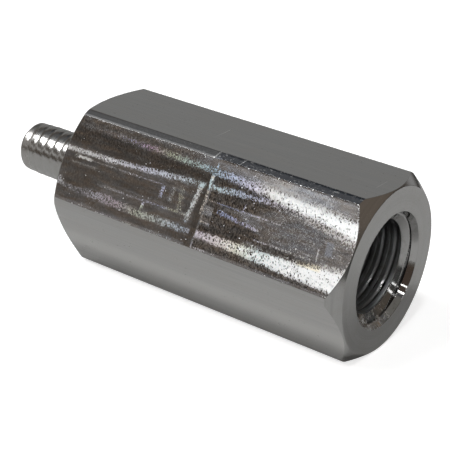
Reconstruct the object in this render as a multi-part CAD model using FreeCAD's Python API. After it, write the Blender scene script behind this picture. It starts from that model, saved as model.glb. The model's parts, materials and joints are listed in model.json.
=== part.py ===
import FreeCAD, Part
import math
import os
from FreeCAD import Vector

# Threaded hex adapter, one turned piece of hexagon bar with a threaded stud on
# one end and a threaded hole in the other. Lengths in millimetres.
#
# Frame: the body lies on one of its six flats. +X runs along the axis from the
# stud towards the hole, +Z is up, and the origin is the middle of the bounding
# box's underside. One flat faces straight down (z = 0), one straight up, and
# the corners between the side flats point along +Y and -Y.

# ---- driving dimensions ----
ACROSS_FLATS = 19.05        # 3/4 in hexagon bar
BODY_LENGTH = 39.0          # shoulder to open end
EDGE_RADIUS = 1.0           # rounding along the six long corners

STUD_LENGTH = 12.0          # shoulder to tip
STUD_RADIUS = 3.11          # crest of a 1/4-20 external thread
STUD_TIP_CHAMFER = 0.85     # 45 degree lead-in at the tip
STUD_ROOT_RADIUS = 0.25     # fillet where the stud meets the shoulder

SHOULDER_RADIUS = 8.70      # flat ring left on the stud end by the turned chamfer
SHOULDER_ANGLE = 30.0       # chamfer slope, measured from the end plane
FACE_RADIUS = 9.42          # flat face left on the open end by the turned chamfer
FACE_ANGLE = 45.0           # chamfer slope, measured from the end plane

MOUTH_RADIUS = 6.62         # entry recess at the open end
RECESS_RADIUS = 6.21        # bottom of the entry recess
RECESS_DEPTH = 0.82
LEAD_DEPTH = 1.48           # where the lead-in cone reaches the hole
HOLE_RADIUS = 5.325         # minor diameter of an M12 x 1.5 internal thread
HOLE_DEPTH = 24.0           # full diameter, measured from the open end
DRILL_POINT = 118.0         # included angle of the blind end

# ---- derived positions ----
TOTAL = BODY_LENGTH + STUD_LENGTH
X_TIP = -TOTAL / 2.0
X_SHOULDER = X_TIP + STUD_LENGTH
X_FACE = TOTAL / 2.0
AXIS_Z = ACROSS_FLATS / 2.0
CORNER = ACROSS_FLATS / math.sqrt(3.0)   # centre to sharp corner


def turned(profile):
    """Solid of revolution about the part's axis, from (x, radius) points."""
    pts = [Vector(x, 0.0, AXIS_Z + r) for x, r in profile]
    face = Part.Face(Part.makePolygon(pts + [pts[0]]))
    return face.revolve(Vector(0, 0, AXIS_Z), Vector(1, 0, 0), 360.0)


# Hexagon bar, with its six long corners rounded
corners = []
for i in range(6):
    a = math.radians(60.0 * i)
    corners.append(Vector(X_SHOULDER, -CORNER * math.cos(a), AXIS_Z + CORNER * math.sin(a)))
bar = Part.Face(Part.makePolygon(corners + [corners[0]])).extrude(Vector(BODY_LENGTH, 0, 0))
long_edges = [e for e in bar.Edges if abs(e.Length - BODY_LENGTH) < 1e-6]
bar = bar.makeFillet(EDGE_RADIUS, long_edges)

# The two end chamfers are turned, so they are cones about the axis and cut
# curved edges into the flats
reach = CORNER + 1.0
envelope = turned([
    (X_SHOULDER, 0.0),
    (X_SHOULDER, SHOULDER_RADIUS),
    (X_SHOULDER + (reach - SHOULDER_RADIUS) * math.tan(math.radians(SHOULDER_ANGLE)), reach),
    (X_FACE - (reach - FACE_RADIUS) * math.tan(math.radians(FACE_ANGLE)), reach),
    (X_FACE, FACE_RADIUS),
    (X_FACE, 0.0),
])
body = bar.common(envelope)

# Threaded stud: crest cylinder with a chamfered tip. It starts inside the body
# so that the two fuse cleanly, then the corner at the shoulder is filleted.
stud = turned([
    (X_TIP, 0.0),
    (X_TIP, STUD_RADIUS - STUD_TIP_CHAMFER),
    (X_TIP + STUD_TIP_CHAMFER, STUD_RADIUS),
    (X_SHOULDER + 1.0, STUD_RADIUS),
    (X_SHOULDER + 1.0, 0.0),
])
body = body.fuse(stud)
ring_edge = [e for e in body.Edges
             if isinstance(e.Curve, Part.Circle)
             and abs(e.Curve.Radius - STUD_RADIUS) < 1e-6
             and abs(e.Curve.Center.x - X_SHOULDER) < 1e-6]
if STUD_ROOT_RADIUS > 0 and ring_edge:
    body = body.makeFillet(STUD_ROOT_RADIUS, ring_edge)

# Blind hole: entry recess, lead-in cone, hole at thread minor diameter, drill point
point = HOLE_RADIUS / math.tan(math.radians(DRILL_POINT / 2.0))
slope = (MOUTH_RADIUS - RECESS_RADIUS) / RECESS_DEPTH
hole = turned([
    (X_FACE + 1.0, 0.0),
    (X_FACE + 1.0, MOUTH_RADIUS + slope),
    (X_FACE - RECESS_DEPTH, RECESS_RADIUS),
    (X_FACE - LEAD_DEPTH, HOLE_RADIUS),
    (X_FACE - HOLE_DEPTH, HOLE_RADIUS),
    (X_FACE - HOLE_DEPTH - point, 0.0),
])
adapter = body.cut(hole).removeSplitter()

os.makedirs("parts", exist_ok=True)
adapter.exportStep("parts/adapter_body.step")

box = adapter.BoundBox
print("valid", adapter.isValid(), "solids", len(adapter.Solids), "faces", len(adapter.Faces))
print("box", round(box.XMin, 3), round(box.XMax, 3), round(box.YMin, 3), round(box.YMax, 3),
      round(box.ZMin, 3), round(box.ZMax, 3))
print("volume mm3", round(adapter.Volume, 1), "steel grams", round(adapter.Volume * 7.85e-3, 1))
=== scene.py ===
import json
import math

import bmesh
import bpy
import numpy as np
from mathutils import Matrix, Vector


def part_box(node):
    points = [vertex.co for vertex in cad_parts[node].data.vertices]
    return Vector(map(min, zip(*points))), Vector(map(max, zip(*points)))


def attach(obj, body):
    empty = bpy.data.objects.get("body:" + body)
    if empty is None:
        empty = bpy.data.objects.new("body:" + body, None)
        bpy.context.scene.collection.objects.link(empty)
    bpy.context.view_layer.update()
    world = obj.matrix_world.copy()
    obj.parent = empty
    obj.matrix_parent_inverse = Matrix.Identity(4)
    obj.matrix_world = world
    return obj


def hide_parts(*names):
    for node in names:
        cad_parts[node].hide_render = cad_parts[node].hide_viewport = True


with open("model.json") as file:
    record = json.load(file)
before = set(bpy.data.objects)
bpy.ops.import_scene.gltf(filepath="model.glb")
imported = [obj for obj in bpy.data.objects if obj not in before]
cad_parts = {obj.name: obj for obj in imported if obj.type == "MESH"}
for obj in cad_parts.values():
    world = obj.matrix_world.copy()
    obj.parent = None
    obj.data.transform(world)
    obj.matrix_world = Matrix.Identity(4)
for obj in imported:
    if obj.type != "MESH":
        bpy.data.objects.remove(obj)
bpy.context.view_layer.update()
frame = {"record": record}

NODE = "adapter_body"

# ---------------------------------------------------------------- sizes, mm
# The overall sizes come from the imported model; the rest are the same driving
# dimensions as the solid's.
LO, HI = [np.array(v) * 1000.0 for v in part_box(NODE)]
MOUNT = {m["name"]: m for m in frame["record"]["mounts"]}
AF = HI[2] - LO[2]
AZ = LO[2] + AF / 2.0
X_TIP, X_FACE = LO[0], HI[0]
X_SHOULDER = MOUNT["shoulder_face"]["pos_m"][0] * 1000.0
STUD_R = MOUNT["male_stud"]["dims"]["r_mm"]
HOLE_R = MOUNT["female_thread"]["dims"]["r_mm"]

EDGE_R = 1.0
SHOULDER_R, SHOULDER_SLOPE = 8.70, math.tan(math.radians(30.0))
FACE_R, FACE_SLOPE = 9.42, 1.0
TIP_CHAMFER, ROOT_R = 0.85, 0.25
MOUTH_R, RECESS_R, RECESS_D, LEAD_D = 6.62, 6.21, 0.82, 1.48
HOLE_D = 24.0

MALE_P, FEMALE_P = 1.27, 1.5
MALE_DEPTH, FEMALE_DEPTH = 0.053, 0.11
MALE_X0 = X_SHOULDER - 4.73     # a crest passes here at 45 degrees
FEMALE_D0 = 2.15                # a groove passes at this depth at 180 degrees

SEAM_X = 7.1                    # the fine cross line on the front upper flat


def smooth_profile(points, period, sigma, n=4096):
    """A periodic height profile from (position, height) corners, softened by sigma mm."""
    u = np.arange(n) / n * period
    px = [p[0] for p in points]
    py = [p[1] for p in points]
    v = np.interp(u, px + [period], py + [py[0]])
    f = np.fft.rfft(v)
    k = np.arange(len(f))
    f *= np.exp(-0.5 * (2 * np.pi * k * sigma / period) ** 2)
    return np.fft.irfft(f, n)


def profile_at(table, period, pos):
    n = len(table)
    t = np.mod(np.asarray(pos) / period, 1.0) * n
    i = np.floor(t).astype(int) % n
    f = t - np.floor(t)
    return table[i] * (1 - f) + table[(i + 1) % n] * f


# External thread: 0 at the crest's middle, height 0 at the crest, -depth at the root
crest_w, root_w = 0.62, 0.15
flank = (MALE_P - crest_w - root_w) / 2
MALE_TABLE = smooth_profile(
    [(0, 0), (crest_w / 2, 0), (crest_w / 2 + flank, -MALE_DEPTH),
     (crest_w / 2 + flank + root_w, -MALE_DEPTH), (MALE_P - crest_w / 2, 0)],
    MALE_P, 0.085)
MALE_TABLE -= MALE_TABLE.max()

# Internal thread: 0 at the groove's middle, height depth at the groove
g_root, g_flank = 0.10, 0.24
FEMALE_TABLE = smooth_profile(
    [(0, FEMALE_DEPTH), (g_root / 2, FEMALE_DEPTH), (g_root / 2 + g_flank, 0),
     (0.62, 0), (0.73, 0.05), (0.84, 0),
     (FEMALE_P - g_root / 2 - g_flank, 0), (FEMALE_P - g_root / 2, FEMALE_DEPTH)],
    FEMALE_P, 0.025)
FEMALE_TABLE -= FEMALE_TABLE.min()


def smin(a, b, k):
    h = np.clip(0.5 + 0.5 * (b - a) / k, 0, 1)
    return b * (1 - h) + a * h - k * h * (1 - h)


def smax(a, b, k):
    return -smin(-a, -b, k)


def step(a, b, x):
    t = np.clip((x - a) / (b - a), 0, 1)
    return t * t * (3 - 2 * t)


def stud_radius(th, x):
    """Outside of the stud: thread, lead-in chamfer at the tip, run-out at the shoulder."""
    pos = x - MALE_X0 + MALE_P * (th - math.radians(45)) / (2 * math.pi)
    run_out = 1.0 - step(X_SHOULDER - 1.5, X_SHOULDER - 0.7, x)
    lead = 0.10 * (1 - step(X_TIP + 0.8, X_TIP + 3.2, x))
    r = STUD_R - lead + profile_at(MALE_TABLE, MALE_P, pos) * run_out
    tip = STUD_R - TIP_CHAMFER + (x - X_TIP) * 1.0
    r = smin(r, tip, 0.06)
    # fillet into the shoulder
    q = np.clip((x - (X_SHOULDER - ROOT_R)) / ROOT_R, 0, 1)
    return r + ROOT_R * (1 - np.sqrt(np.maximum(1 - q * q, 0)))


def hole_radius(th, d):
    """Inside of the hole at depth d below the open face."""
    pos = d - FEMALE_D0 - FEMALE_P * (th - math.pi) / (2 * math.pi)
    g = HOLE_R + profile_at(FEMALE_TABLE, FEMALE_P, pos)
    fade = step(HOLE_D - 0.4, HOLE_D - 1.8, d)
    g = HOLE_R + (g - HOLE_R) * fade
    wall = MOUTH_R + (RECESS_R - MOUTH_R) * d / RECESS_D
    lead = RECESS_R + (HOLE_R - RECESS_R) * (d - RECESS_D) / (LEAD_D - RECESS_D)
    plain = smax(smin(wall, lead, 0.03), HOLE_R + 0 * d, 0.03)
    # a thin relief between recess and lead-in, wider where the thread starts
    t = np.mod(np.degrees(th), 360.0)
    w = 0.06 + 0.16 * step(165, 205, t) * (1 - step(225, 255, t))
    cut = step(0.74, 0.79, d) * (1 - step(0.79 + w, 0.85 + w, d)) * step(85, 115, t) * (1 - step(235, 262, t))
    chip = 0.30 * step(266, 272, t) * (1 - step(288, 297, t)) * np.clip(1 - d / 0.62, 0, 1)
    return smax(plain + 0.14 * cut + chip, g, 0.03)


# ---------------------------------------------------------------- mesh maker
class Shell:
    """Rings of vertices joined from the stud's tip round to the bottom of the hole."""

    def __init__(self):
        self.v, self.n, self.f, self.m = [], [], [], []

    def add(self, pts, nrm):
        i0 = len(self.v)
        self.v.extend(map(tuple, pts))
        self.n.extend(map(tuple, nrm))
        return list(range(i0, i0 + len(pts)))

    def face(self, ids, mat):
        self.f.append(tuple(ids)[::-1])
        self.m.append(mat)

    def bridge(self, a, b, mat, closed=True):
        """a is nearer the stud's tip along the skin; both run round the axis the same way."""
        n = len(a)
        for i in range(n if closed else n - 1):
            j = (i + 1) % n
            self.face((a[i], a[j], b[j], b[i]), mat if np.isscalar(mat) else int(mat[i]))

    def halve(self, many, few, mat, flip=False):
        n = len(few)
        for i in range(n):
            a0, a1, a2 = many[2 * i], many[2 * i + 1], many[(2 * i + 2) % len(many)]
            b0, b1 = few[i], few[(i + 1) % n]
            for t in ((a0, a1, b0), (a1, b1, b0), (a1, a2, b1)):
                self.face(t[::-1] if flip else t, mat)


def polar(x, r, th):
    return np.stack([np.broadcast_to(x, np.shape(th)) + 0 * th, -r * np.cos(th), AZ + r * np.sin(th)], -1)


def radial(th, nx, nr):
    """Unit normal with an axial part nx and a radial part nr."""
    nx, nr = np.broadcast_to(nx, th.shape), np.broadcast_to(nr, th.shape)
    l = np.sqrt(nx * nx + nr * nr)
    return np.stack([nx / l, -nr / l * np.cos(th), nr / l * np.sin(th)], -1)


def field_normal(fn, th, x, outward, sign_x=1.0):
    """Normal of the surface r = fn(th, x), pointing away from the axis or towards it."""
    e = 1e-4
    r = fn(th, x)
    rx = (fn(th, x + e) - fn(th, x - e)) / (2 * e) * sign_x
    rt = (fn(th + e, x) - fn(th - e, x)) / (2 * e)
    er = np.stack([0 * th, -np.cos(th), np.sin(th)], -1)
    et = np.stack([0 * th, np.sin(th), np.cos(th)], -1)
    n = er - np.stack([rx, 0 * rx, 0 * rx], -1) - (rt / r)[..., None] * et
    n /= np.linalg.norm(n, axis=-1, keepdims=True)
    return n if outward else -n


# Cross-sections of the hexagon. Each corner is a crowned facet: its normal runs from
# one flat's through the angles below, which are measured from the corner's own
# direction, to the next flat's.  (position along the facet, angle)
PLAIN = dict(width=1.00, run=[(0, -30), (0.12, -9), (0.88, 9), (1, 30)])
LOWER = dict(width=1.00, run=[(0, -30), (0.14, -8), (0.955, 3), (1, 30)])
UPPER_L = dict(width=1.11, run=[(0, -30), (0.006, -4), (0.20, -1), (0.36, 4), (0.86, 11), (1, 30)])
UPPER_R = dict(width=1.11, run=[(0, -30), (0.008, 5.5), (0.62, 8.5), (0.74, 17), (0.88, 19), (1, 30)])
NF, NC = 24, 14


def facet(shape, base):
    """Points (y, z) and normals of a corner whose direction is base."""
    tau = np.array([p[0] for p in shape["run"]])
    ang = np.radians([p[1] for p in shape["run"]])
    fine = np.linspace(0, 1, 2001)
    nu = np.interp(fine, tau, ang)
    # distance along the corner's tangent and its direction
    dt, dr = np.cos(nu), -np.sin(nu)
    t = np.concatenate([[0], np.cumsum((dt[1:] + dt[:-1]) / 2)])
    r = np.concatenate([[0], np.cumsum((dr[1:] + dr[:-1]) / 2)])
    k = shape["width"] / math.hypot(t[-1], r[-1])
    t, r = t * k, r * k
    beta = math.atan2(-r[-1], t[-1])
    b = shape["width"] * math.sin(math.radians(30) - beta) / math.sin(math.radians(120))
    a = shape["width"] * math.sin(math.radians(30) + beta) / math.sin(math.radians(120))
    # columns, closer where the normal turns faster
    turn = np.concatenate([[0], np.cumsum(np.abs(np.diff(nu)))])
    mix = 0.55 * turn / turn[-1] + 0.45 * fine
    pick = np.interp(np.linspace(0, 1, NC + 1), mix, fine)
    t, r, nu = np.interp(pick, fine, t), np.interp(pick, fine, r), np.interp(pick, fine, nu)
    # the sharp corner, then the start point on the flat before it
    cr = np.array([-math.cos(base), math.sin(base)])
    ct = np.array([math.sin(base), math.cos(base)])
    v = cr * AF / 2 / math.cos(math.pi / 6)
    f0 = np.array([math.sin(base - math.pi / 6), math.cos(base - math.pi / 6)])
    p0 = v - f0 * b
    pts = p0 + t[:, None] * ct + r[:, None] * cr
    nrm = np.sin(nu)[:, None] * ct + np.cos(nu)[:, None] * cr
    return pts, nrm


def section(upper):
    pts, nrm, ids = [], [], []
    corners = [facet({0: LOWER, 1: upper}.get(i, PLAIN), math.radians(60 * i)) for i in range(6)]
    for i in range(6):
        p, n = corners[i]
        pts.extend(p[:-1]); nrm.extend(n[:-1]); ids.extend([10 + i] * NC)
        q = corners[(i + 1) % 6][0][0]
        for k in range(NF):
            pts.append(p[-1] + (q - p[-1]) * k / NF)
            nrm.append(n[-1]); ids.append(i)
    pts, nrm = np.array(pts), np.array(nrm)
    th = np.unwrap(np.arctan2(pts[:, 1], -pts[:, 0]))
    return th, np.hypot(pts[:, 0], pts[:, 1]), nrm, np.array(ids)


TH, HR, SN, flat_id = section(UPPER_L)
TH_R, HR_R, SN_R, _ = section(UPPER_R)
N = len(TH)
SIDE_N = np.concatenate([np.zeros((N, 1)), SN], 1)
SIDE_NR = np.concatenate([np.zeros((N, 1)), SN_R], 1)

S = Shell()
FLAT, FRONT, TURNED, STUD, HOLE, CORNER = 0, 1, 2, 3, 4, 5


def at(x, r):
    return polar(x, r, TH)


def bend(p0, p1, p2, n0, n1, k):
    """Rings that round the corner p1 between p0 and p2."""
    out = []
    for t in [i / k for i in range(k + 1)]:
        p = (1 - t) ** 2 * p0 + 2 * t * (1 - t) * p1 + t * t * p2
        n = (1 - t) * n0 + t * n1
        n = n / np.linalg.norm(n, axis=-1, keepdims=True)
        out.append((p, n))
    return out


# ---- stud, on half as many columns
TH2 = TH[::2]
M = len(TH2)
tip_c = S.add([(X_TIP, 0.0, AZ)], [(-1, 0, 0)])[0]
tip_r = STUD_R - TIP_CHAMFER - 0.10
rings = []
for r in (tip_r * 0.5, tip_r - 0.08):
    rings.append(S.add(polar(X_TIP, r, TH2), radial(TH2, -1.0, 0.0)))
for i in range(M):
    S.face((tip_c, rings[0][(i + 1) % M], rings[0][i]), STUD)
S.bridge(rings[0], rings[1], STUD)
# rounded edge of the tip, then the thread rows, which follow the helix
x_a, x_b = X_TIP + 0.12, X_SHOULDER
ra = stud_radius(TH2, np.full(M, x_a))
p0 = polar(X_TIP, tip_r - 0.08, TH2)
p2 = polar(x_a, ra, TH2)
p1 = polar(X_TIP, ra - 0.12, TH2)
n0 = radial(TH2, -1.0, 0.0)
n1 = field_normal(stud_radius, TH2, np.full(M, x_a), True)
last = rings[-1]
for p, n in bend(p0, p1, p2, n0, n1, 4)[1:]:
    ring = S.add(p, n)
    S.bridge(last, ring, STUD)
    last = ring

ROWS = 16
total = x_b - x_a
K = int(math.ceil((total / MALE_P + 2) * ROWS))
thc = np.append(TH2, TH2[0] + 2 * math.pi)          # one more column, a turn on
start = x_a - MALE_P
grid = []
prev = None
for k in range(K + 1):
    x = start + k * MALE_P / ROWS - MALE_P * (thc - thc[0]) / (2 * math.pi) + MALE_P
    x = np.clip(x, x_a, x_b - 1e-9)
    r = stud_radius(thc, x)
    nn = field_normal(stud_radius, thc, np.minimum(x, x_b - 1e-3), True)
    ids = S.add(polar(x, r, thc), nn)
    if prev is not None:
        S.bridge(prev, ids, STUD, closed=False)
    prev = ids
STUD_END_R = stud_radius(TH2, np.full(M, x_b - 1e-9))

# ---- shoulder ring, full columns from here on
inner = S.add(polar(X_SHOULDER, STUD_END_R, TH2), radial(TH2, -1.0, 0.0))
ring = S.add(at(X_SHOULDER, STUD_R + 1.2), radial(TH, -1.0, 0.0))
S.halve(ring, inner, TURNED, flip=True)
last = ring


def chain(rings_, mat):
    global last
    for p, n in rings_:
        ring = S.add(p, n)
        S.bridge(last, ring, mat)
        last = ring


# ---- stud end chamfer
h = HR
len_cone = (h - SHOULDER_R) * math.sqrt(1 + SHOULDER_SLOPE ** 2)
e1 = np.minimum(0.10, 0.35 * len_cone)
e2 = np.minimum(0.10, 0.35 * len_cone)
g = 1 / math.sqrt(1 + SHOULDER_SLOPE ** 2)
n_face = radial(TH, -1.0, 0.0)
n_cone = radial(TH, -1.0, SHOULDER_SLOPE)
chain([(at(X_SHOULDER, SHOULDER_R - 1.0), n_face)], TURNED)
p1 = at(X_SHOULDER, SHOULDER_R)
chain(bend(at(X_SHOULDER, SHOULDER_R - e1), p1,
           polar(X_SHOULDER + e1 * g * SHOULDER_SLOPE, SHOULDER_R + e1 * g, TH), n_face, n_cone, 4), TURNED)
xe = X_SHOULDER + (h - SHOULDER_R) * SHOULDER_SLOPE
chain(bend(polar(xe - e2 * g * SHOULDER_SLOPE, h - e2 * g, TH), polar(xe, h, TH),
           polar(xe + e2, h, TH), n_cone, SIDE_N, 4), TURNED)

# ---- the flats and corners; the right-hand part has its own upper corner
SIDE = np.where(flat_id == 0, FRONT, np.where(flat_id == 11, CORNER, FLAT))
on_b = np.where((flat_id == 0) | (flat_id == 11), 1.0, 0.0)


def side(x, part, deep=0.0, lean=0.0):
    th = TH * (1 - part) + TH_R * part
    h = HR * (1 - part) + HR_R * part
    n = SIDE_N * (1 - part) + SIDE_NR * part
    p = polar(x, h, th)
    p[:, 1:] -= n[:, 1:] * (deep * on_b)[:, None]
    n[:, 0] += lean * on_b
    n /= np.linalg.norm(n, axis=1, keepdims=True)
    return p, n


chain([side(x, 0) for x in np.linspace(X_SHOULDER + 1.7, SEAM_X - 0.30, 6)], SIDE)
chain([side(SEAM_X + dx, part, deep, lean) for dx, part, deep, lean in (
    (-0.10, 0, 0.0, 0.0), (-0.07, 0, 0.006, 0.30), (-0.03, 0, 0.022, 0.42), (0.0, 0.5, 0.030, 0.0),
    (0.03, 1, 0.024, -0.30), (0.06, 1, 0.014, -0.22), (0.09, 1, 0.010, 0.0))], SIDE)
chain([side(x, 1, deep) for x, deep in ((SEAM_X + 0.4, 0.008), (SEAM_X + 2.0, 0.005), (SEAM_X + 6.0, 0.002),
                                        (SEAM_X + 10.0, 0.0), (SEAM_X + 13.0, 0.0), (X_FACE - 1.75, 0.0))], SIDE)
TH, h, SIDE_N = TH_R, HR_R, SIDE_NR

# ---- open end chamfer and face
len_cone = (h - FACE_R) * math.sqrt(1 + FACE_SLOPE ** 2)
e1 = np.minimum(0.035, 0.35 * len_cone)
g = 1 / math.sqrt(1 + FACE_SLOPE ** 2)
xe = X_FACE - (h - FACE_R) * FACE_SLOPE
n_cone = radial(TH, 1.0, FACE_SLOPE)
n_face = radial(TH, 1.0, 0.0)
edge = bend(polar(xe - e1, h, TH), polar(xe, h, TH),
            polar(xe + e1 * g * FACE_SLOPE, h - e1 * g, TH), SIDE_N, n_cone, 4)
chain(edge[:1], SIDE)
chain(edge[1:], TURNED)
chain(bend(polar(X_FACE - e1 * g * FACE_SLOPE, FACE_R + e1 * g, TH), at(X_FACE, FACE_R),
           at(X_FACE, FACE_R - e1), n_cone, n_face, 4), TURNED)
chain([(at(X_FACE, FACE_R - 0.6), n_face), (at(X_FACE, MOUTH_R + 0.5), n_face)], TURNED)

# ---- mouth edge, recess and lead-in, on level rings
e = 0.07
depth_fn = hole_radius


def hole_ring(d):
    d = np.full(N, d) if np.ndim(d) == 0 else d
    return (polar(X_FACE - d, hole_radius(TH, d), TH), field_normal(hole_radius, TH, d, False, -1.0))


first, nfirst = hole_ring(e)
chain(bend(at(X_FACE, MOUTH_R + e), at(X_FACE, MOUTH_R), first, n_face, nfirst, 4), TURNED)
levels = list(np.linspace(e + 0.12, 0.70, 4)) + list(np.linspace(0.73, 1.10, 16)) + \
    list(np.linspace(1.15, LEAD_D - 0.08, 6)) + list(np.linspace(LEAD_D - 0.05, LEAD_D + 0.06, 6))
chain([hole_ring(d) for d in levels], HOLE)

# ---- threaded wall, rows following the helix
d_a, d_b = LEAD_D + 0.06, HOLE_D
thc = np.append(TH, TH[0] + 2 * math.pi)
rows = []
d = d_a - FEMALE_P * 1.0
fine = 18
while d < d_b + FEMALE_P:
    rows.append(d)
    d += FEMALE_P / fine
prev = None
for k, dk in enumerate(rows):
    d = dk + FEMALE_P * (thc - thc[0]) / (2 * math.pi)
    d = np.clip(d, d_a, d_b)
    ids = S.add(polar(X_FACE - d, hole_radius(thc, d), thc), field_normal(hole_radius, thc, d, False, -1.0))
    if prev is not None:
        S.bridge(prev, ids, HOLE, closed=False)
    prev = ids
# drill point
point = HOLE_R / math.tan(math.radians(59.0))
n_pt = radial(TH, math.tan(math.radians(59.0)), -1.0)
ring0 = S.add(at(X_FACE - HOLE_D, hole_radius(TH, np.full(N, HOLE_D))), n_pt)
ring1 = S.add(at(X_FACE - HOLE_D - point * 0.5, HOLE_R * 0.5), n_pt)
end_c = S.add([(X_FACE - HOLE_D - point, 0.0, AZ)], [(1, 0, 0)])[0]
S.bridge(ring0, ring1, HOLE)
for i in range(N):
    S.face((ring1[i], ring1[(i + 1) % N], end_c), HOLE)


def make_mesh(shell, name):
    me = bpy.data.meshes.new(name)
    me.from_pydata([tuple(c * 0.001 for c in v) for v in shell.v], [], shell.f)
    me.polygons.foreach_set("material_index", np.array(shell.m, np.int32))
    at_ = me.attributes.new("plain_normal", "FLOAT_VECTOR", "POINT")
    at_.data.foreach_set("vector", np.array(shell.n, np.float32).ravel())
    bm = bmesh.new()
    bm.from_mesh(me)
    bmesh.ops.remove_doubles(bm, verts=bm.verts, dist=2e-7)
    bmesh.ops.dissolve_degenerate(bm, edges=bm.edges, dist=1e-7)
    loose = [v for v in bm.verts if not v.link_faces]
    bmesh.ops.delete(bm, geom=loose, context="VERTS")
    open_edges = [e_ for e_ in bm.edges if len(e_.link_faces) != 2]
    print("open edges", len(open_edges), "verts", len(bm.verts), "faces", len(bm.faces),
          "volume mm3", round(bm.calc_volume() * 1e9, 1))
    bm.to_mesh(me)
    bm.free()
    me.shade_smooth() if hasattr(me, "shade_smooth") else None
    nn = np.empty(len(me.vertices) * 3, np.float32)
    me.attributes["plain_normal"].data.foreach_get("vector", nn)
    nn = nn.reshape(-1, 3)
    nn /= np.maximum(np.linalg.norm(nn, axis=1, keepdims=True), 1e-9)
    me.attributes.remove(me.attributes["plain_normal"])
    me.normals_split_custom_set_from_vertices(nn.tolist())
    return me


mesh = make_mesh(S, "hex_adapter")
adapter = bpy.data.objects.new("hex_adapter", mesh)
bpy.context.collection.objects.link(adapter)
tris = sum(len(p.vertices) - 2 for p in mesh.polygons)
print("triangles", tris)

# ---------------------------------------------------------------- node helpers
class Nodes:
    """Small helper that adds and links shader nodes."""

    def __init__(self, tree):
        self.t = tree

    def new(self, kind, **props):
        n = self.t.nodes.new(kind)
        for k, v in props.items():
            setattr(n, k, v)
        return n

    def put(self, sock, v):
        if isinstance(v, bpy.types.NodeSocket):
            self.t.links.new(v, sock)
        elif v is not None:
            sock.default_value = v

    def math(self, op, a, b=None, c=None, clamp=False):
        n = self.new("ShaderNodeMath", operation=op, use_clamp=clamp)
        for i, v in enumerate((a, b, c)):
            self.put(n.inputs[i], v)
        return n.outputs[0]

    def add(self, a, b): return self.math("ADD", a, b)
    def sub(self, a, b): return self.math("SUBTRACT", a, b)
    def mul(self, a, b): return self.math("MULTIPLY", a, b)
    def top(self, a, b): return self.math("MAXIMUM", a, b)

    def total(self, vals):
        out = vals[0]
        for v in vals[1:]:
            out = self.add(out, v)
        return out

    def remap(self, v, a, b, c=0.0, d=1.0, smooth=True):
        n = self.new("ShaderNodeMapRange", interpolation_type="SMOOTHSTEP" if smooth else "LINEAR", clamp=True)
        for i, q in enumerate((v, a, b, c, d)):
            self.put(n.inputs[i], q)
        return n.outputs[0]

    def box(self, v, lo, hi, soft):
        """1 between lo and hi, falling to 0 over soft at each side."""
        return self.mul(self.remap(v, self.sub(lo, soft / 2), self.add(lo, soft / 2)) if isinstance(lo, bpy.types.NodeSocket)
                        else self.remap(v, lo - soft / 2, lo + soft / 2),
                        self.remap(v, self.sub(hi, soft / 2), self.add(hi, soft / 2), 1.0, 0.0) if isinstance(hi, bpy.types.NodeSocket)
                        else self.remap(v, hi - soft / 2, hi + soft / 2, 1.0, 0.0))

    def curve(self, v, pts, x0, x1, y0, y1):
        """A smooth function through a few given points."""
        n = self.new("ShaderNodeFloatCurve")
        c = n.mapping.curves[0]
        pts = [((px - x0) / (x1 - x0), (py - y0) / (y1 - y0)) for px, py in pts]
        c.points[0].location = pts[0]
        c.points[1].location = pts[-1]
        for p in pts[1:-1]:
            c.points.new(*p)
        for p in c.points:
            p.handle_type = "AUTO_CLAMPED"
        n.mapping.extend = "HORIZONTAL"
        n.mapping.update()
        self.put(n.inputs["Value"], self.remap(v, x0, x1, smooth=False))
        return self.remap(n.outputs[0], 0.0, 1.0, y0, y1, smooth=False)

    def mix(self, f, a, b):
        n = self.new("ShaderNodeMix", data_type="RGBA")
        self.put(n.inputs[0], f)
        self.put(n.inputs[6], a)
        self.put(n.inputs[7], b)
        return n.outputs[2]

    def lerp(self, f, a, b):
        n = self.new("ShaderNodeMix", data_type="FLOAT")
        self.put(n.inputs[0], f)
        self.put(n.inputs[2], a)
        self.put(n.inputs[3], b)
        return n.outputs[0]

    def ramp(self, v, stops, mode="LINEAR"):
        n = self.new("ShaderNodeValToRGB")
        n.color_ramp.interpolation = mode
        e = n.color_ramp.elements
        e[0].position, e[0].color = stops[0][0], (*stops[0][1], 1)
        e[1].position, e[1].color = stops[-1][0], (*stops[-1][1], 1)
        for p, c in stops[1:-1]:
            k = e.new(p)
            k.color = (*c, 1)
        self.put(n.inputs[0], v)
        return n.outputs[0]

    def noise(self, vec, scale, detail=0.0, rough=0.5, out=0, dims="3D", w=None, distortion=0.0):
        n = self.new("ShaderNodeTexNoise", noise_dimensions=dims)
        self.put(n.inputs["Vector"], vec)
        n.inputs["Scale"].default_value = scale
        n.inputs["Detail"].default_value = detail
        n.inputs["Roughness"].default_value = rough
        n.inputs["Distortion"].default_value = distortion
        return n.outputs[out]

    def split(self, vec):
        n = self.new("ShaderNodeSeparateXYZ")
        self.put(n.inputs[0], vec)
        return n.outputs[0], n.outputs[1], n.outputs[2]

    def join(self, x, y, z):
        n = self.new("ShaderNodeCombineXYZ")
        for i, v in enumerate((x, y, z)):
            self.put(n.inputs[i], v)
        return n.outputs[0]

    def mm(self):
        """Object coordinates in millimetres."""
        tc = self.new("ShaderNodeTexCoord")
        v = self.new("ShaderNodeVectorMath", operation="SCALE")
        self.put(v.inputs[0], tc.outputs["Object"])
        v.inputs["Scale"].default_value = 1000.0
        return v.outputs[0]

    def bump(self, height, dist, strength=1.0, normal=None):
        n = self.new("ShaderNodeBump")
        n.inputs["Strength"].default_value = strength
        n.inputs["Distance"].default_value = dist
        self.put(n.inputs["Height"], height)
        self.put(n.inputs["Normal"], normal)
        return n.outputs[0]


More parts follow.
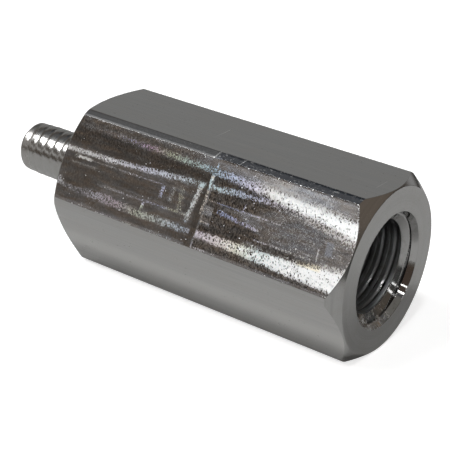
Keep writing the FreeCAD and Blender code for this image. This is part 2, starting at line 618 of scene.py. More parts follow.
def material(name):
    m = bpy.data.materials.new(name)
    m.use_nodes = True
    b = m.node_tree.nodes["Principled BSDF"]
    b.inputs["Metallic"].default_value = 1.0
    return m, Nodes(m.node_tree), b


# ---------------------------------------------------------------- materials
PLATE = (0.61, 0.61, 0.605, 1)


def face_coords(n):
    """x along the body and s across the front upper flat, in mm; s is 0 on the flat's middle line."""
    v = n.mm()
    x, y, z = n.split(v)
    s = n.add(n.mul(y, 0.5), n.mul(n.sub(z, AZ), math.sqrt(3) / 2))
    return v, x, y, z, s


def spread(n, noise, lo=0.28, hi=0.72):
    """Noise values, which bunch round 0.5, spread evenly over 0 to 1."""
    return n.remap(noise, lo, hi)


def line(n, x, s, p, q, half, soft=0.06):
    """1 on a thin straight mark from p to q."""
    (x0, s0), (x1, s1) = p, q
    l = math.hypot(x1 - x0, s1 - s0)
    ux, us = (x1 - x0) / l, (s1 - s0) / l
    along = n.add(n.mul(n.sub(x, x0), ux), n.mul(n.sub(s, s0), us))
    across = n.add(n.mul(n.sub(x, x0), -us), n.mul(n.sub(s, s0), ux))
    return n.mul(n.box(along, 0.0, l, 0.25), n.remap(n.math("ABSOLUTE", across), half - soft / 2, half + soft / 2, 1.0, 0.0))


def front_flat():
    """The flat that meets the camera: bright drawn surface crossed by bands of fine
    grinding marks, which scatter the light and show slight interference colours. Their base colour is lifted towards
    white where they scatter most, partly a painted highlight, and the dark mirror between them has a painted reflection
    tone."""
    m, n, b = material("plate_front")
    v, x, y, z, s = face_coords(n)
    XR = (-14.0, 26.0)

    def cx(pts, lo, hi):
        return n.curve(x, pts, XR[0], XR[1], lo, hi)

    def cs(pts, lo, hi):
        return n.curve(s, pts, -5.6, 5.6, lo, hi)

    # slightly wavy edges for every band, and a coarse grain that roughens them
    wob = n.mul(n.sub(n.noise(n.join(n.mul(x, 0.45), n.mul(s, 0.7), 3.7), 1.0, 2.0), 0.5), 0.30)
    gilt = n.mul(n.box(x, 19.7, 22.5, 0.8), n.box(s, -2.75, -2.1, 0.3))
    rag = n.mul(n.sub(n.noise(n.join(n.mul(x, 5.0), n.mul(s, 1.5), 1.9), 1.0, 1.0), 0.5), 0.28)
    sw = n.add(n.add(s, wob), rag)
    left = n.remap(x, 6.25, 6.45, 1.0, 0.0)
    right = n.remap(x, 7.02, 7.14)

    def band(lo, hi, amt, soft=0.5):
        return n.mul(cx(amt, 0.0, 1.4), n.box(sw, cx(lo, -5.5, 5.5), cx(hi, -5.5, 5.5), soft))

    # ---- the three long bands; the amount is about the share of light they scatter
    up = band([(-12.5, 3.78), (-6, 3.68), (0, 3.48), (6.8, 3.36), (9, 3.25), (12, 3.07), (14, 2.96), (17, 2.60), (20, 2.33), (23, 1.95), (25, 1.48)],
              [(-12.5, 4.15), (0, 4.10), (6.8, 3.95), (9, 3.85), (12, 3.65), (14, 3.55), (17, 3.38), (20, 3.18), (23, 2.98), (25, 2.85)],
              [(-13, .05), (-9, .07), (-6, .09), (-2, .11), (2, .13), (6.8, .19), (9, .26), (12, .35), (13.5, .44), (15, .66), (17, .80), (20, .98), (25, 1.2)], 0.75)
    up2 = band([(6.5, 3.0), (14, 2.6), (17, 2.2), (20, 1.65), (25, 0.9)], [(6.5, 4.2), (14, 3.95), (20, 3.6), (25, 3.1)],
               [(6.5, 0), (9, .03), (14, .09), (17, .12), (20, .17), (25, .24)], 1.1)
    mid = n.mul(n.top(left, right), band(
        [(-13.5, .78), (-8, .84), (-4, 1.0), (-2, 1.12), (0, 1.25), (3, 1.45), (6.1, 1.66), (7.2, 1.72), (10, 1.86), (13, 2.0), (16, 1.95), (18, 1.9)],
        [(-13.5, 1.12), (-8, 1.23), (-4, 1.43), (-2, 1.58), (0, 1.76), (3, 1.98), (6.1, 2.12), (7.2, 2.15), (10, 2.35), (13, 2.6), (16, 2.7)],
        [(-13.5, .60), (-10, .37), (-6, .38), (-2, .33), (2, .31), (4, .23), (5.5, .10), (7.2, .31), (10, .29), (13, .17), (16, .07), (18, .02), (20, 0)], 0.55))
    low = n.mul(n.top(left, right), band(
        [(-13, -3.2), (-10.5, -3.70), (-8, -3.72), (-4, -3.8), (0, -3.82), (6, -3.78), (7.0, -3.76), (12, -3.78), (14, -3.85), (16, -3.98), (18, -4.03), (20, -4.13), (24, -4.30)],
        [(-13, -2.6), (-10.7, -3.05), (-9.5, -3.02), (-8, -2.82), (-6, -2.72), (-4, -2.82), (-2, -2.97), (0, -3.08), (6, -3.08), (7.0, -3.05), (12, -2.95), (14, -2.95), (16, -2.90), (20, -2.80), (23, -2.42), (25, -2.2)],
        [(-13, .14), (-11, .10), (-9, .10), (-8, .13), (-4, .145), (0, .165), (3, .185), (6.0, .12), (7.1, .27), (10, .44), (13, .62), (16, .90), (20, 1.12), (25, 1.25)], 0.5))
    low2 = n.mul(right, band([(7, -4.0), (16, -4.25), (25, -4.5)], [(7, -2.85), (14, -2.65), (20, -2.35), (25, -1.7)],
                             [(7, .03), (12, .06), (16, .10), (25, .26)], 0.7))

    # ---- short marks on the left part
    off = n.sub(x, n.add(5.65, n.mul(s, 0.09)))
    rx = n.add(x, n.mul(n.sub(n.noise(n.join(n.mul(x, 1.1), n.mul(s, 4.2), 6.6), 1.0, 1.0), 0.5), 0.35))
    cross = n.mul(n.mul(n.box(n.add(off, n.sub(rx, x)), -0.26, 0.26, 0.34), n.box(s, -2.6, 1.95, 0.6)), n.remap(s, -2.6, 1.0, 0.18, 0.29))
    bars = n.total([
        n.mul(n.mul(n.box(rx, 1.08, 1.52, 0.3), n.box(s, -1.0, 0.5, 0.5)), 0.17),
        n.mul(n.mul(n.box(rx, 2.3, 2.9, 0.4), n.box(s, -1.1, 0.5, 0.6)), 0.08),
        n.mul(n.mul(n.box(n.add(rx, n.mul(s, 0.22)), 3.4, 4.1, 0.4), n.box(s, -1.8, 0.8, 0.6)), 0.07),
        n.mul(n.mul(n.box(x, 6.62, 6.98, 0.16), n.box(s, 2.15, 3.3, 0.5)), 0.36),
        n.mul(n.mul(n.box(x, 6.68, 6.98, 0.16), n.box(s, -1.2, 2.4, 1.0)), 0.16),
        n.mul(n.mul(n.box(rx, -11.3, -9.1, 0.8), n.box(sw, 0.20, 0.46, 0.26)), 0.42),
        n.mul(n.mul(n.box(x, -0.68, -0.38, 0.18), n.box(s, -2.85, -2.2, 0.4)), 0.34),
        n.mul(n.mul(n.box(x, -14, -12.2, 0.6), n.box(s, -3.3, -2.4, 0.6)), 0.16),
        n.mul(n.mul(n.box(rx, 12.9, 15.2, 0.8), n.box(sw, -2.75, -2.3, 0.4)), 0.10),
    ])
    xs = n.sub(x, cs([(-4.8, 7.07), (-3.6, 7.30), (-.15, 7.06), (.62, 6.96), (2.26, 6.86), (3.78, 6.90), (4.86, 7.02)], 6.0, 8.0))
    seam = n.mul(n.box(xs, -0.08, 0.08, 0.08), n.remap(n.noise(n.join(n.mul(x, 0.5), n.mul(s, 2.2), 1.2), 1.0, 2.0), 0.36, 0.58))
    hh = n.math("SQRT", n.add(n.mul(s, s), AF * AF / 4))
    to_edge = n.sub(X_FACE + FACE_R, n.add(x, hh))
    rim = n.mul(n.remap(to_edge, 0.04, 0.34, 1.0, 0.0),
                n.remap(n.noise(n.join(n.mul(x, 3.2), n.mul(s, 3.4), 2.8), 1.0, 1.0), 0.48, 0.66))
    lines = n.total([
        n.mul(seam, cs([(-5, .10), (-3, .10), (0, .12), (2, .16), (3.3, .30), (4.95, .34)], 0.0, 0.5)),
        n.mul(rim, cs([(-5, .10), (-3.4, .16), (-2.4, .40), (-1.2, .30), (0.5, .10), (1.5, .32), (3.0, .30), (4, .10), (4.95, .16)], 0.0, 0.5)),
        n.mul(line(n, x, s, (-9.0, 0.32), (1.0, 0.42), 0.10, 0.14), 0.08),
        n.mul(line(n, x, s, (-7.2, -2.02), (5.2, -1.85), 0.15, 0.2), 0.08),
        n.mul(line(n, x, s, (-12.0, -0.42), (-8.0, -0.38), 0.12, 0.2), 0.08),
        n.mul(line(n, x, s, (7.2, 0.5), (16.5, 0.5), 0.08, 0.10), 0.09),
        n.mul(line(n, x, s, (11.72, 0.55), (11.85, 1.35), 0.07), 0.12),
        n.mul(line(n, x, s, (14.0, -1.90), (21.2, -1.86), 0.11, 0.12), 0.09),
        n.mul(line(n, x, s, (7.2, -1.95), (8.4, -1.95), 0.10, 0.12), 0.09),
        n.mul(line(n, x, s, (8.7, -0.34), (14.2, -0.92), 0.20, 0.34), 0.18),
        n.mul(line(n, x, s, (21.62, -0.5), (21.75, -1.9), 0.06), 0.35),
    ])
    marks = n.total([up, up2, mid, low, low2, cross, bars, lines])

    # ---- haze: evenly dulled areas
    e_up = cx([(-13, 3.75), (0, 3.8), (6.8, 3.75), (14, 3.3), (25, 2.4)], -5.5, 5.5)
    haze_up = n.mul(n.remap(sw, e_up, n.add(e_up, 0.6)),
                    cx([(-13, 0), (-2, .008), (4, .04), (7, .10), (12, .165), (16, .24), (20, .21), (23, .16), (25, .11)], 0.0, 1.0))
    haze_left = n.mul(n.remap(x, 5.9, 6.4, 1.0, 0.0),
                      cs([(-5.0, .17), (-4.75, .11), (-4.4, .035), (-3.9, .04), (-2.6, .05), (-2.2, .06), (-1.6, .06), (-1.2, .025),
                          (0, .03), (0.6, .05), (1.0, .06), (1.5, .03), (2.2, .005), (3.0, 0), (3.6, .02), (4.4, .022), (4.8, .05)], 0.0, 0.3))
    haze_left = n.mul(haze_left, n.lerp(n.box(s, -3.7, -1.4, 0.5), 1.0, cx([(-12, 1.0), (-10.8, .25), (-8, .30), (-6.3, 1.0)], 0.0, 1.0)))
    haze_mid = n.mul(n.box(sw, cx([(7, .15), (12, -.3), (14, -1.0), (15.3, -2.0), (25, -2.2)], -5.5, 5.5),
                           cx([(7, .35), (11, .5), (13.5, .75), (15.2, 1.8), (17, 2.2), (20, 1.8), (25, 1.2)], -5.5, 5.5), 0.6),
                     n.mul(right, cx([(7, .06), (10, .07), (13, .09), (15, .085), (17, .10), (20, .11), (25, .12)], 0.0, 1.0)))
    low_edge = n.mul(n.mul(right, n.remap(s, -4.60, -4.85)), cx([(7, .20), (12, .13), (25, .11)], 0.0, 1.0))
    patches = n.total([
        n.mul(n.mul(n.box(x, 7.15, 8.25, 0.16), n.box(s, -1.2, -0.1, 0.3)), 0.13),
        n.mul(n.mul(n.box(x, 7.15, 8.4, 0.16), n.box(s, -2.3, -1.3, 0.4)), 0.08),
        n.mul(n.mul(n.box(x, 0.9, 4.6, 0.6), n.box(s, -1.7, 0.6, 0.5)), 0.015),
        n.mul(n.mul(n.box(x, 11.2, 15.5, 1.2), n.box(s, 0.15, 0.55, 0.3)), 0.08),
    ])
    cloud = n.remap(n.noise(n.join(n.mul(x, 0.7), n.mul(s, 1.8), 9.1), 1.0, 3.0), 0.3, 0.7, 0.75, 1.25)
    drawn = n.remap(n.noise(n.join(n.mul(x, 0.55), n.mul(s, 7.5), 7.7), 1.0, 2.0), 0.3, 0.7, 0.72, 1.28)
    blue = n.mul(n.box(n.add(x, n.mul(s, 0.12)), 22.3, 23.15, 0.25), n.box(s, -0.95, 0.5, 0.35))
    haze = n.mul(n.total([haze_left, haze_mid, low_edge, patches]), n.mul(cloud, drawn))
    haze_up = n.mul(n.mul(haze_up, cloud), n.remap(s, 4.80, 5.04, 1.0, 0.15))

    # ---- fine grain: tiny facets, each catching the light its own way
    vor = n.new("ShaderNodeTexVoronoi", voronoi_dimensions="2D", feature="F1")
    n.put(vor.inputs["Vector"], n.join(n.mul(n.add(x, n.mul(s, 0.25)), 9.5), n.mul(s, 6.6), 0.0))
    vor.inputs["Scale"].default_value = 1.0
    facets = vor.outputs["Color"]
    f1, f2, f3 = n.split(facets)
    g1 = spread(n, n.noise(n.join(n.mul(x, 5.0), n.mul(s, 3.0), 0.0), 1.0, 1.0, 0.6))
    swing = n.mul(n.sub(1.0, n.math("EXPONENT", n.mul(marks, -2.7))), 0.95)
    glint = n.mul(n.sub(n.add(f1, n.mul(g1, 0.3)), 0.65), n.mul(swing, n.remap(s, 0.0, 2.0, 1.0, 1.15)))
    g2 = spread(n, n.noise(n.join(n.mul(x, 4.4), n.mul(s, 2.0), 5.5), 1.0, 1.0, 0.5), 0.3, 0.7)
    pits = n.mul(n.remap(n.add(n.mul(f1, 0.45), n.mul(g2, 0.55)), 0.20, 0.50, 0.80, 0.0), n.mul(n.mul(n.remap(marks, 0.25, 0.7), n.remap(marks, 0.80, 1.02, 1.0, 0.16)), n.remap(s, 0.0, 2.0, 1.0, 0.28)))
    g3 = n.sub(1.0, spread(n, n.noise(n.join(n.mul(n.add(x, n.mul(s, 0.3)), 6.4), n.mul(s, 4.4), 8.8), 1.0, 1.0, 0.6), 0.32, 0.66))
    marks = n.mul(marks, n.sub(1.0, n.total([pits, n.mul(n.mul(g3, g3), n.remap(marks, 0.55, 1.0, 0.0, 0.70))])))
    gh = n.add(n.remap(f2, 0.0, 1.0, 0.52, 1.28, smooth=False), n.mul(g1, 0.22))
    gu = n.add(n.remap(f2, 0.0, 1.0, 0.78, 1.10, smooth=False), n.mul(g1, 0.12))
    lit = n.top(n.total([marks, glint, n.mul(haze, gh), n.mul(haze_up, gu)]), 0.0)
    haze = n.add(haze, haze_up)
    dust = n.mul(n.remap(f3, 0.80, 1.0), n.add(0.022, n.mul(n.mul(right, n.remap(sw, n.sub(e_up, 0.5), e_up, 1.0, 0.2)), 0.035)))
    lit = n.lerp(n.mul(blue, 0.7), n.add(lit, dust), 0.175)
    speck = n.mul(n.remap(n.noise(n.join(n.mul(x, 3.9), n.mul(s, 4.3), 8.0), 1.0, 0.0), 0.80, 0.84),
                  n.remap(n.noise(n.join(n.mul(x, 0.35), n.mul(s, 0.7), 2.0), 1.0, 1.0), 0.42, 0.6))
    edge_specks = n.mul(n.remap(n.noise(n.join(n.mul(x, 2.6), n.mul(s, 3.0), 4.0), 1.0, 0.0), 0.66, 0.76), n.remap(s, 4.82, 4.98))
    spark = n.top(speck, edge_specks)
    lit = n.top(lit, n.mul(spark, 0.8))

    # ---- colour
    def by_x(stops):
        return n.ramp(n.remap(x, XR[0], XR[1], smooth=False), [((px + 14) / 40, c) for px, c in stops])

    t_up = by_x([(-12, (.78, .76, .76)), (-6.5, (.76, .74, .82)), (-5, (.70, .68, .98)), (-2, (.98, .62, .92)), (0.6, (.90, .95, .62)),
                 (3, (.74, .96, .84)), (6.5, (.62, .84, 1.0)), (9, (.66, .76, 1.0)), (12, (.85, .83, 1.0)), (14, (.95, .94, .92)), (17, (.95, .97, .97))])
    t_mid = by_x([(-13, (.97, .94, .90)), (-7, (.93, .92, .93)), (-2, (.84, .84, 1.0)), (3, (.82, .90, 1.0)), (6, (.78, .96, 1.0)),
                  (8, (.74, .92, 1.0)), (12, (.69, .76, 1.0)), (15, (.86, .83, .95)), (18, (.92, .90, .90))])
    t_low = by_x([(-12, (.80, .79, .82)), (-7, (.80, .77, .88)), (-4, (.96, .76, .88)), (-1, (.90, .94, .72)), (2, (.88, .96, .94)),
                  (5.5, (.72, .84, 1.0)), (7.5, (.93, .86, .96)), (10, (.97, .88, .88)), (12.5, (.97, .95, .80)), (15, (.86, .96, .97)), (19, (.95, .96, .96))])
    t_marks = by_x([(-12, (.90, .90, .84)), (-7.5, (.86, .82, .76)), (0, (.84, .82, 1.0)), (2.0, (.62, .68, 1.0)), (3.2, (.88, .88, .58)),
                    (4.6, (.90, .90, .68)), (5.3, (.92, .97, .98)), (7.6, (.95, .84, .70)), (9, (.52, .63, 1.0)), (12, (.70, .70, .96)), (15, (.84, .81, .88)), (18, (.92, .90, .88))])
    tint = n.mix(n.remap(sw, -2.6, -2.25), t_low, n.mix(n.box(sw, n.add(cx([(-14, .7), (16, 2.1)], -5.5, 5.5), -0.2), 2.85, 0.3), t_marks, t_mid))
    tint = n.mix(n.remap(sw, n.add(e_up, -0.75), n.add(e_up, -0.5)), tint, t_up)
    tint = n.mix(0.05, tint, facets)
    tint = n.mix(n.remap(x, 4.0, 7.0, 0.30, 0.12), tint, (0.66, 0.72, 0.80, 1))
    # base colour lifted towards white where the bands scatter most light: partly the bands' own finish, partly painted
    # highlight
    tint = n.mix(n.remap(lit, 0.75, 1.0), tint, (0.98, 0.985, 0.985, 1))
    tint = n.mix(n.mul(gilt, 0.7), tint, (0.99, 0.91, 0.70, 1))
    warm = n.noise(n.join(n.mul(x, 0.5), n.mul(s, 1.6), 6.0), 1.0, 3.0)
    # the dark mirror's tone across the flat, set band by band to how bright the dark reflection is there: painted
    # reflection
    reflection_tone = cs([(-5.0, .68), (-4.4, .64), (-2.5, .58), (0, .60), (1.6, .58), (2.6, .51), (3.2, .51), (3.8, .61), (5, .68)], 0.3, 0.8)
    dark = n.mix(n.remap(warm, 0.35, 0.7), (0.94, 0.98, 1.04, 1), (1.06, 0.97, 0.90, 1))
    sc = n.new("ShaderNodeVectorMath", operation="SCALE")
    n.put(sc.inputs[0], dark)
    fleck = n.add(n.mul(f2, 0.7), n.mul(g1, 0.3))
    depth = n.lerp(right, n.remap(s, 1.9, 2.4, 0.17, 0.42), 0.78)
    long = n.remap(n.noise(n.join(n.mul(x, 0.25), n.mul(s, 1.3), 3.3), 1.0, 2.0), 0.32, 0.68, 0.84, 1.14)
    n.put(sc.inputs["Scale"], n.mul(n.mul(reflection_tone, long), n.add(0.97, n.mul(depth, n.remap(fleck, 0.1, 0.9, -1.0, 1.0, smooth=False)))))
    ruddy = n.add(n.mul(n.remap(warm, 0.35, 0.65), 0.5), n.mul(cx([(-14, .6), (7, .5), (9, .2), (12, .35), (14, .7), (16.5, .5), (18.5, .15), (20.5, .2), (22.5, .75), (25, .9)], 0.0, 1.0), 0.5))
    dull = n.mix(ruddy, (0.575, 0.61, 0.68, 1), (0.675, 0.635, 0.605, 1))
    col = n.mix(n.remap(haze, 0.0, 0.12), sc.outputs[0], dull)
    # the bright band tint replaces the dark mirror wherever the bands scatter light: partly painted highlight
    col = n.mix(n.remap(n.sub(lit, n.mul(haze, 0.9)), 0.01, 0.20), col, tint)
    col = n.mix(n.mul(blue, 0.75), col, (0.64, 0.69, 0.79, 1))
    col = n.mix(spark, col, (0.93, 0.93, 0.92, 1))
    n.put(b.inputs["Base Color"], col)

    # rougher where more light is scattered
    n.put(b.inputs["Roughness"], n.curve(lit, [(0, .10), (.0515, .16), (.103, .20), (.207, .26), (.363, .314), (.525, .358), (.745, .42), (.905, .475), (1.05, .55), (1.3, .58)], 0.0, 1.3, 0.0, 1.0))
    height = n.noise(n.join(n.mul(x, 0.22), n.mul(s, 3.2), 0.0), 1.0, 3.0)
    n.put(b.inputs["Normal"], n.bump(height, 0.000003, 0.6))
    return m


def drawn_flat():
    """The other flats: bright drawn plate with faint lengthwise lines and a few specks."""
    m, n, b = material("plate_flats")
    v = n.mm()
    x, y, z = n.split(v)
    k = n.add(n.mul(y, 1.0), n.mul(z, 0.7))
    streak = n.noise(n.join(n.mul(x, 0.06), n.mul(y, 5.0), n.mul(z, 5.0)), 1.0, 3.0, 0.6)
    fine = n.noise(n.join(n.mul(x, 0.5), n.mul(y, 14.0), n.mul(z, 14.0)), 1.0, 1.0)
    cloud = n.noise(n.join(n.mul(x, 0.16), n.mul(y, 0.5), n.mul(z, 0.5)), 1.0, 3.0)
    f = n.remap(streak, 0.35, 0.65)
    col = n.mix(f, (0.585, 0.588, 0.585, 1), (0.63, 0.627, 0.62, 1))
    col = n.mix(n.remap(cloud, 0.35, 0.7, 0.0, 0.35), col, (0.60, 0.585, 0.565, 1))
    # a lighter band along the middle of the lower front flat: partly a rubbed finish, partly painted reflection lifting
    # it to the brightness of the floor it mirrors
    rubbed = n.mul(n.box(z, 2.9, 5.1, 1.5), n.remap(y, -4.0, -5.0))
    col = n.mix(n.mul(rubbed, 0.85), col, (0.705, 0.70, 0.69, 1))
    dots = n.remap(n.noise(n.join(n.mul(x, 2.4), n.mul(y, 3.0), n.mul(z, 3.0)), 1.0, 0.0), 0.79, 0.83)
    col = n.mix(n.mul(dots, 0.5), col, (0.40, 0.39, 0.38, 1))
    top = n.remap(z, AZ + 9.0, AZ + 9.3)
    worn = n.mul(top, n.total([
        n.mul(line(n, x, y, (23.64, -1.4), (23.66, 0.8), 0.035, 0.05), 0.75),
        n.mul(line(n, x, y, (3.24, -1.7), (3.18, 1.3), 0.06, 0.08), n.remap(y, -1.6, 0.6, 0.25, 1.0)),
        n.mul(line(n, x, y, (14.0, -1.2), (17.4, -1.5), 0.03, 0.06), 0.35),
        n.mul(line(n, x, y, (9.5, 2.4), (11.3, 2.1), 0.03, 0.06), 0.25),
        n.mul(line(n, x, y, (-6.4, 1.2), (-2.0, 1.35), 0.03, 0.06), 0.22)]))
    col = n.mix(worn, col, (0.86, 0.86, 0.86, 1))
    n.put(b.inputs["Base Color"], col)
    rough = n.add(n.remap(streak, 0.3, 0.7, 0.085, 0.125), n.mul(n.remap(fine, 0.4, 0.7), 0.03))
    n.put(b.inputs["Roughness"], n.total([rough, n.mul(dots, 0.15), n.mul(worn, 0.15)]))
    n.put(b.inputs["Normal"], n.bump(n.add(n.mul(streak, 0.6), n.mul(fine, 0.25)), 0.000003, 0.5))
    return m


def corner_facet():
    """The rubbed corner above the front flat: smooth near the stud, gritty past the cross line."""
    m, n, b = material("plate_corner")
    v, x, y, z, s = face_coords(n)
    vor = n.new("ShaderNodeTexVoronoi", voronoi_dimensions="3D", feature="F1")
    n.put(vor.inputs["Vector"], n.join(n.mul(x, 7.0), n.mul(y, 8.5), n.mul(z, 8.5)))
    vor.inputs["Scale"].default_value = 1.0
    f1, f2, f3 = n.split(vor.outputs["Color"])
    xx = n.sub(x, n.mul(n.sub(s, 4.9), 0.36))
    grit = n.curve(xx, [(-14, .10), (-8, .18), (-4, .45), (0, .5), (6.0, .5), (6.4, 1.0), (26, 1.0)], -14, 26, 0, 1)
    scuff = n.remap(n.noise(n.join(n.mul(x, 1.3), n.mul(y, 3.0), n.mul(z, 3.0)), 1.0, 2.0), 0.38, 0.62)
    lit = n.mul(n.mul(n.remap(f1, 0.55, 1.0), grit), n.add(0.25, n.mul(scuff, 0.75)))
    pale = n.mul(n.remap(n.noise(n.join(n.mul(x, 2.2), n.mul(y, 3.4), n.mul(z, 3.4)), 1.0, 0.0), 0.70, 0.80), grit)
    right = n.remap(xx, 6.12, 6.32)
    col = n.mix(right, (0.66, 0.66, 0.66, 1), (0.42, 0.445, 0.495, 1))
    col = n.mix(n.mul(n.mul(f2, grit), 0.7), col, (0.36, 0.37, 0.40, 1))
    ticks = n.top(n.box(xx, 5.92, 6.10, 0.08), n.box(xx, 9.27, 9.40, 0.08))
    col = n.mix(n.top(n.top(lit, pale), ticks), col, (0.82, 0.83, 0.84, 1))
    n.put(b.inputs["Base Color"], col)
    n.put(b.inputs["Roughness"], n.add(0.12, n.total([n.mul(lit, 0.17), n.mul(pale, 0.20), n.mul(ticks, 0.22)])))
    n.put(b.inputs["Normal"], n.bump(n.noise(n.join(n.mul(x, 1.5), n.mul(y, 5.0), n.mul(z, 5.0)), 1.0, 3.0), 0.000008, 0.5))
    return m


def turned():
    """Turned end faces and chamfers: fine rings round the axis."""
    m, n, b = material("plate_turned")
    v = n.mm()
    x, y, z = n.split(v)
    zz = n.sub(z, AZ)
    r = n.math("SQRT", n.add(n.mul(y, y), n.mul(zz, zz)))
    u = n.add(r, n.mul(x, 0.6))
    ring = n.noise(n.join(n.mul(u, 7.0), n.mul(y, 0.05), n.mul(zz, 0.05)), 1.0, 3.0, 0.65)
    fine = n.noise(n.join(n.mul(u, 26.0), n.mul(y, 0.10), n.mul(zz, 0.10)), 1.0, 1.0)
    spot = n.noise(v, 0.8, 3.0)
    col = n.mix(n.remap(ring, 0.3, 0.7), (0.50, 0.50, 0.495, 1), (0.56, 0.56, 0.555, 1))
    col = n.mix(n.remap(spot, 0.45, 0.75, 0.0, 0.25), col, (0.50, 0.48, 0.455, 1))
    n.put(b.inputs["Base Color"], col)
    n.put(b.inputs["Roughness"], n.add(n.remap(ring, 0.3, 0.7, 0.13, 0.20), n.mul(n.remap(spot, 0.4, 0.7), 0.04)))
    n.put(b.inputs["Normal"], n.bump(n.add(n.mul(ring, 0.6), n.mul(fine, 0.4)), 0.000006, 0.5))
    return m


def stud_thread():
    """The stud: duller plate, mottled, with rubbed crests."""
    m, n, b = material("plate_stud")
    v = n.mm()
    x, y, z = n.split(v)
    zz = n.sub(z, AZ)
    r = n.math("SQRT", n.add(n.mul(y, y), n.mul(zz, zz)))
    spot = n.noise(v, 1.6, 4.0, 0.6)
    crest = n.remap(r, STUD_R - 0.08, STUD_R - 0.015)
    col = n.mix(crest, (0.56, 0.55, 0.535, 1), (0.555, 0.555, 0.545, 1))
    col = n.mix(n.remap(spot, 0.42, 0.7, 0.0, 0.5), col, (0.50, 0.485, 0.465, 1))
    n.put(b.inputs["Base Color"], col)
    n.put(b.inputs["Roughness"], n.add(n.lerp(crest, 0.27, 0.17), n.remap(spot, 0.35, 0.7, 0.0, 0.05)))
    n.put(b.inputs["Normal"], n.bump(n.noise(v, 2.6, 3.0, 0.5), 0.000002, 0.4))
    return m


def hole_wall():
    """Inside the hole: bright at the lead-in, then dark with cutting oil left in the thread; painted shade darkens the
    wall's upper side and the relief groove, and a painted highlight sits where the lamp glints fall.
    """
    m, n, b = material("hole_wall")
    v = n.mm()
    x, y, z = n.split(v)
    d = n.sub(X_FACE, x)
    zz = n.sub(z, AZ)
    r = n.math("SQRT", n.add(n.mul(y, y), n.mul(zz, zz)))
    spot = n.noise(v, 1.1, 4.0, 0.6)
    ring = n.noise(n.join(n.mul(x, 9.0), n.mul(y, 0.5), n.mul(z, 0.5)), 1.0, 3.0, 0.7)
    inside = n.remap(d, 1.35, 1.75)
    deep = n.remap(d, 2.0, 11.0)
    groove = n.mul(inside, n.remap(r, HOLE_R + 0.012, HOLE_R + 0.035))
    wall = n.mix(deep, (0.62, 0.65, 0.665, 1), (0.50, 0.52, 0.53, 1))
    wear = n.remap(n.noise(n.join(n.mul(d, 3.2), n.mul(y, 0.22), n.mul(z, 0.22)), 1.0, 2.0, 0.6), 0.38, 0.62)
    wall = n.mix(n.mul(wear, 0.45), wall, (0.36, 0.375, 0.38, 1))
    wall = n.mix(groove, wall, (0.36, 0.37, 0.38, 1))
    # a brighter base colour on the groove edge, only at the angle where the lamp glints fall: painted highlight, with a
    # smoother finish there as well
    edge = n.mul(n.mul(groove, n.box(zz, -4.5, -3.6, 0.6)), n.mul(n.remap(y, 0.0, 1.0), n.remap(d, 2.5, 6.0, 1.0, 0.0)))
    wall = n.mix(n.mul(edge, 0.8), wall, (0.85, 0.85, 0.85, 1))
    # the upper side of the wall darkened nearly to black: painted shade
    wall = n.mix(n.remap(zz, 0.3, 3.6, 0.0, 0.95), wall, (0.06, 0.063, 0.066, 1))
    sharp = n.mul(n.box(zz, -5.7, -3.2, 0.8), n.remap(y, 0.0, 1.0))
    col = n.mix(inside, n.mix(n.remap(d, 0.70, 0.80), (0.585, 0.585, 0.58, 1), (0.53, 0.53, 0.525, 1)), wall)
    # the relief groove between recess and lead-in is darkened, and darker still towards the bottom: painted shade in
    # the groove
    cut = n.mul(n.box(d, 0.75, 1.3, 0.05), n.remap(r, n.remap(zz, 0.0, -1.5, 6.13, 5.98), 6.23))
    col = n.mix(cut, col, n.mix(n.remap(zz, 0.0, -1.5), (0.30, 0.30, 0.30, 1), (0.13, 0.13, 0.13, 1)))
    col = n.mix(n.remap(spot, 0.5, 0.72, 0.0, 0.4), col, (0.30, 0.285, 0.27, 1))
    chipped = n.mul(n.mul(n.remap(y, 0.7, -0.7), n.remap(zz, -3.6, -4.6)), n.remap(d, 0.70, 0.80, 1.0, 0.0))
    col = n.mix(chipped, col, (0.88, 0.88, 0.87, 1))
    burr = n.mul(n.remap(n.noise(v, 2.9, 1.0), 0.56, 0.64), n.mul(n.mul(n.remap(y, 2.6, 1.4), n.remap(zz, -3.4, -4.4)), n.remap(d, 1.5, 1.8, 1.0, 0.0)))
    col = n.mix(burr, col, (0.95, 0.95, 0.94, 1))
    n.put(b.inputs["Base Color"], col)
    n.put(b.inputs["Roughness"], n.total([n.mul(chipped, 0.12), n.mul(burr, 0.25), n.lerp(inside, n.lerp(sharp, 0.08, 0.02), n.lerp(edge, 0.50, 0.09)), n.remap(spot, 0.35, 0.7, 0.0, 0.03), n.remap(ring, 0.35, 0.7, 0.0, 0.03)]))
    n.put(b.inputs["Normal"], n.bump(n.add(ring, n.mul(spot, 0.3)), 0.000005, 0.4))
    return m


for make in (drawn_flat, front_flat, turned, stud_thread, hole_wall, corner_facet):
    mesh.materials.append(make())
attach(adapter, "root")
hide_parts(NODE)


# ---------------------------------------------------------------- stage
def plane(name, size, z, colour):
    me = bpy.data.meshes.new(name)
    s = size / 2
    me.from_pydata([(-s, -s, z), (s, -s, z), (s, s, z), (-s, s, z)], [], [(0, 1, 2, 3)])
    o = bpy.data.objects.new(name, me)
    bpy.context.collection.objects.link(o)
    m = bpy.data.materials.new(name)
    m.use_nodes = True
    b = m.node_tree.nodes["Principled BSDF"]
    b.inputs["Base Color"].default_value = (*colour, 1)
    b.inputs["Roughness"].default_value = 0.9
    b.inputs["Specular IOR Level"].default_value = 0.0
    me.materials.append(m)
    return o


